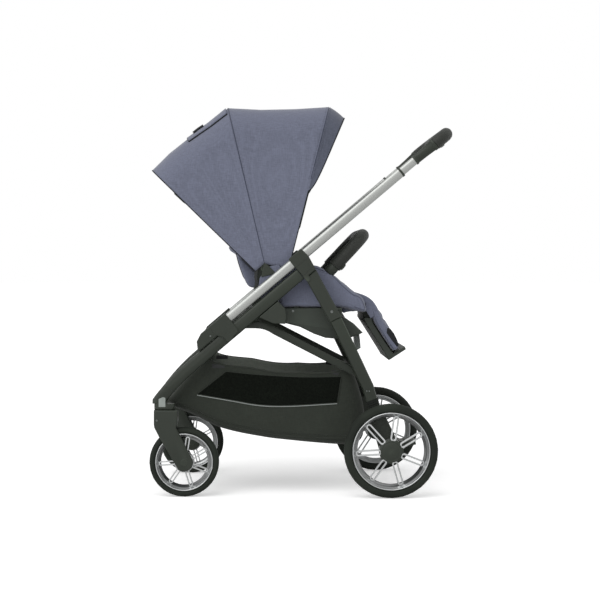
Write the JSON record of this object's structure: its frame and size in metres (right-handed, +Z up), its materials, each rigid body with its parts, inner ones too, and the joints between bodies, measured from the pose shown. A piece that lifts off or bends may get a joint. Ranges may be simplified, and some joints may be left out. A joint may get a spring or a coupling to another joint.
{
  "type": "stroller",
  "caption": "Folding pushchair with a reversible reclining seat, a folding canopy, swivel front casters, sprung rear wheels and a fabric basket.",
  "frame": {"origin": "on the floor, under the centre of the bounding box", "axes": "+Z up; the handle is at +X and the swivel casters at -X; +Y is the right side, away from the picture's camera"},
  "size_m": [0.8648, 0.597, 1.1166],
  "materials": {
    "dark_plastic": "fine moulded texture, satin",
    "dark_steel": "satin powder coat",
    "brushed_tube": "anodised, brushed lengthways",
    "wheel_silver": "bright cast rim with machined edges",
    "tyre_rubber": "matt, lightly grooved",
    "boot_rubber": "matt, ribbed",
    "grip_leather": "grained leatherette with stitching",
    "seat_fabric": "plain fine weave, blue-grey",
    "black_fabric": "plain weave with mesh windows",
    "webbing": "ribbed webbing"
  },
  "bodies": {
    "chassis": {"front_leg_left": "dark_plastic", "front_leg_right": "dark_plastic", "swivel_housing_left": "dark_plastic", "swivel_housing_right": "dark_plastic", "frame_collar_left": "dark_plastic", "frame_collar_right": "dark_plastic", "seat_mount_left": "dark_plastic", "seat_mount_right": "dark_plastic", "front_crossbar": "dark_steel", "basket": "black_fabric"},
    "handle": {"handle_tube_left": "brushed_tube", "handle_tube_right": "brushed_tube", "slider_left": "dark_plastic", "slider_right": "dark_plastic", "tube_ring_left": "dark_plastic", "tube_ring_right": "dark_plastic"},
    "grip": {"inner_tube_left": "brushed_tube", "inner_tube_right": "brushed_tube", "handle_bracket_left": "dark_plastic", "handle_bracket_right": "dark_plastic", "handle_grip": "grip_leather"},
    "telescope_button": {"telescope_button": "dark_plastic"},
    "rear_frame": {"rear_leg_joint_left": "dark_plastic", "rear_leg_joint_right": "dark_plastic", "rear_leg_left": "dark_plastic", "rear_leg_right": "dark_plastic", "suspension_boot_left": "boot_rubber", "suspension_boot_right": "boot_rubber"},
    "brace_left": {"brace_left": "dark_steel"},
    "brace_right": {"brace_right": "dark_steel"},
    "rear_axle": {"axle_housing_left": "dark_plastic", "axle_housing_right": "dark_plastic", "rear_axle_bar": "dark_steel"},
    "brake": {"brake_pedal": "dark_plastic"},
    "rear_wheel_left": {"rear_tyre_left": "tyre_rubber", "rear_rim_left": "wheel_silver", "rear_hub_cap_left": "dark_plastic"},
    "rear_wheel_right": {"rear_tyre_right": "tyre_rubber", "rear_rim_right": "wheel_silver", "rear_hub_cap_right": "dark_plastic"},
    "caster_left": {"fork_left": "dark_plastic"},
    "caster_right": {"fork_right": "dark_plastic"},
    "front_wheel_left": {"front_tyre_left": "tyre_rubber", "front_rim_left": "wheel_silver"},
    "front_wheel_right": {"front_tyre_right": "tyre_rubber", "front_rim_right": "wheel_silver"},
    "seat": {"seat_base": "dark_plastic", "seat_pad": "seat_fabric"},
    "bumper": {"bumper_bar": "grip_leather"},
    "seat_release": {"seat_release_lever": "dark_plastic"},
    "calf_rest": {"calf_frame": "dark_plastic", "calf_pad": "seat_fabric"},
    "backrest": {"backrest_frame": "dark_plastic", "backrest_pad": "seat_fabric", "harness": "webbing"},
    "recline_handle": {"recline_handle": "dark_plastic"},
    "canopy_middle": {"canopy_middle_bow": "dark_steel", "canopy_rear_panel": "seat_fabric"},
    "canopy_front": {"canopy_front_bow": "dark_steel", "canopy_front_panel": "seat_fabric"}
  },
  "joints": [
    {"name": "fold", "type": "hinge", "parent": "chassis", "child": "rear_frame", "pos_m": [0.01703, 0, 0.61363], "axis": [0, 1, 0], "range_deg": [0, 30]},
    {"name": "handle_drop", "type": "slide", "parent": "chassis", "child": "handle", "axis": [-0.7638, 0, -0.6455], "range_m": [0, 0.247]},
    {"name": "brace_left_hinge", "type": "hinge", "parent": "rear_frame", "child": "brace_left", "pos_m": [0.1735, -0.2105, 0.337], "axis": [0, 1, 0], "range_deg": [-47.6, 0]},
    {"name": "brace_right_hinge", "type": "hinge", "parent": "rear_frame", "child": "brace_right", "pos_m": [0.1735, 0.2105, 0.337], "axis": [0, 1, 0], "range_deg": [-47.6, 0]},
    {"name": "handle_telescope", "type": "slide", "parent": "handle", "child": "grip", "axis": [0.7638, 0, 0.6455], "range_m": [-0.045, 0.045]},
    {"name": "telescope_press", "type": "slide", "parent": "grip", "child": "telescope_button", "axis": [-0.6455, 0, 0.7638], "range_m": [0, 0.004], "stiffness_N_per_m": 400, "springref_m": -0.002},
    {"name": "suspension", "type": "slide", "parent": "rear_frame", "child": "rear_axle", "axis": [-0.3423, 0, 0.9396], "range_m": [0, 0.012], "stiffness_N_per_m": 8000, "springref_m": -0.02, "deforming": ["suspension_boot_left", "suspension_boot_right"]},
    {"name": "brake_press", "type": "hinge", "parent": "rear_axle", "child": "brake", "pos_m": [0.2485, 0, 0.132], "axis": [0, 1, 0], "range_deg": [0, 18]},
    {"name": "rear_wheel_left_spin", "type": "hinge", "parent": "rear_axle", "child": "rear_wheel_left", "pos_m": [0.2485, -0.277, 0.132], "axis": [0, 1, 0], "continuous": true},
    {"name": "rear_wheel_right_spin", "type": "hinge", "parent": "rear_axle", "child": "rear_wheel_right", "pos_m": [0.2485, 0.277, 0.132], "axis": [0, 1, 0], "continuous": true},
    {"name": "caster_left_swivel", "type": "hinge", "parent": "chassis", "child": "caster_left", "pos_m": [-0.3913, -0.235, 0.2455], "axis": [0, 0, 1], "continuous": true},
    {"name": "caster_right_swivel", "type": "hinge", "parent": "chassis", "child": "caster_right", "pos_m": [-0.3913, 0.235, 0.2455], "axis": [0, 0, 1], "continuous": true},
    {"name": "front_wheel_left_spin", "type": "hinge", "parent": "caster_left", "child": "front_wheel_left", "pos_m": [-0.3318, -0.235, 0.098], "axis": [0, 1, 0], "continuous": true},
    {"name": "front_wheel_right_spin", "type": "hinge", "parent": "caster_right", "child": "front_wheel_right", "pos_m": [-0.3318, 0.235, 0.098], "axis": [0, 1, 0], "continuous": true},
    {"name": "seat_lift", "type": "slide", "parent": "chassis", "child": "seat", "axis": [0, 0, 1], "range_m": [0, 0.2]},
    {"name": "bumper_pull", "type": "slide", "parent": "seat", "child": "bumper", "axis": [0.683, 0, 0.7304], "range_m": [0, 0.05]},
    {"name": "seat_release", "type": "hinge", "parent": "seat", "child": "seat_release", "pos_m": [0.1687, 0, 0.4477], "axis": [0, 1, 0], "range_deg": [0, 15], "stiffness_Nm_per_rad": 0.6, "springref_deg": -5.73},
    {"name": "calf_fold", "type": "hinge", "parent": "seat", "child": "calf_rest", "pos_m": [0.1875, 0, 0.528], "axis": [0, 1, 0], "range_deg": [-55, 0]},
    {"name": "recline", "type": "hinge", "parent": "seat", "child": "backrest", "pos_m": [-0.1065, 0, 0.644], "axis": [0, -1, 0], "range_deg": [-20, 35]},
    {"name": "recline_squeeze", "type": "slide", "parent": "backrest", "child": "recline_handle", "axis": [-0.7337, 0, 0.6794], "range_m": [0, 0.01], "stiffness_N_per_m": 500, "springref_m": -0.003},
    {"name": "canopy_middle_swing", "type": "hinge", "parent": "backrest", "child": "canopy_middle", "pos_m": [-0.1065, 0, 0.644], "axis": [0, -1, 0], "range_deg": [0, 25]},
    {"name": "canopy_front_swing", "type": "hinge", "parent": "canopy_middle", "child": "canopy_front", "pos_m": [-0.1065, 0, 0.644], "axis": [0, -1, 0], "range_deg": [0, 30], "deforming": ["canopy_rear_panel", "canopy_front_panel"]}
  ],
  "couplings": [
    {"joint": "handle_drop", "follows": "fold", "m_per_rad": 0.4713},
    {"joint": "brace_left_hinge", "follows": "fold", "ratio": -1.585},
    {"joint": "brace_right_hinge", "follows": "fold", "ratio": -1.585},
    {"joint": "canopy_middle_swing", "follows": "canopy_front_swing", "ratio": 0.8}
  ]
}
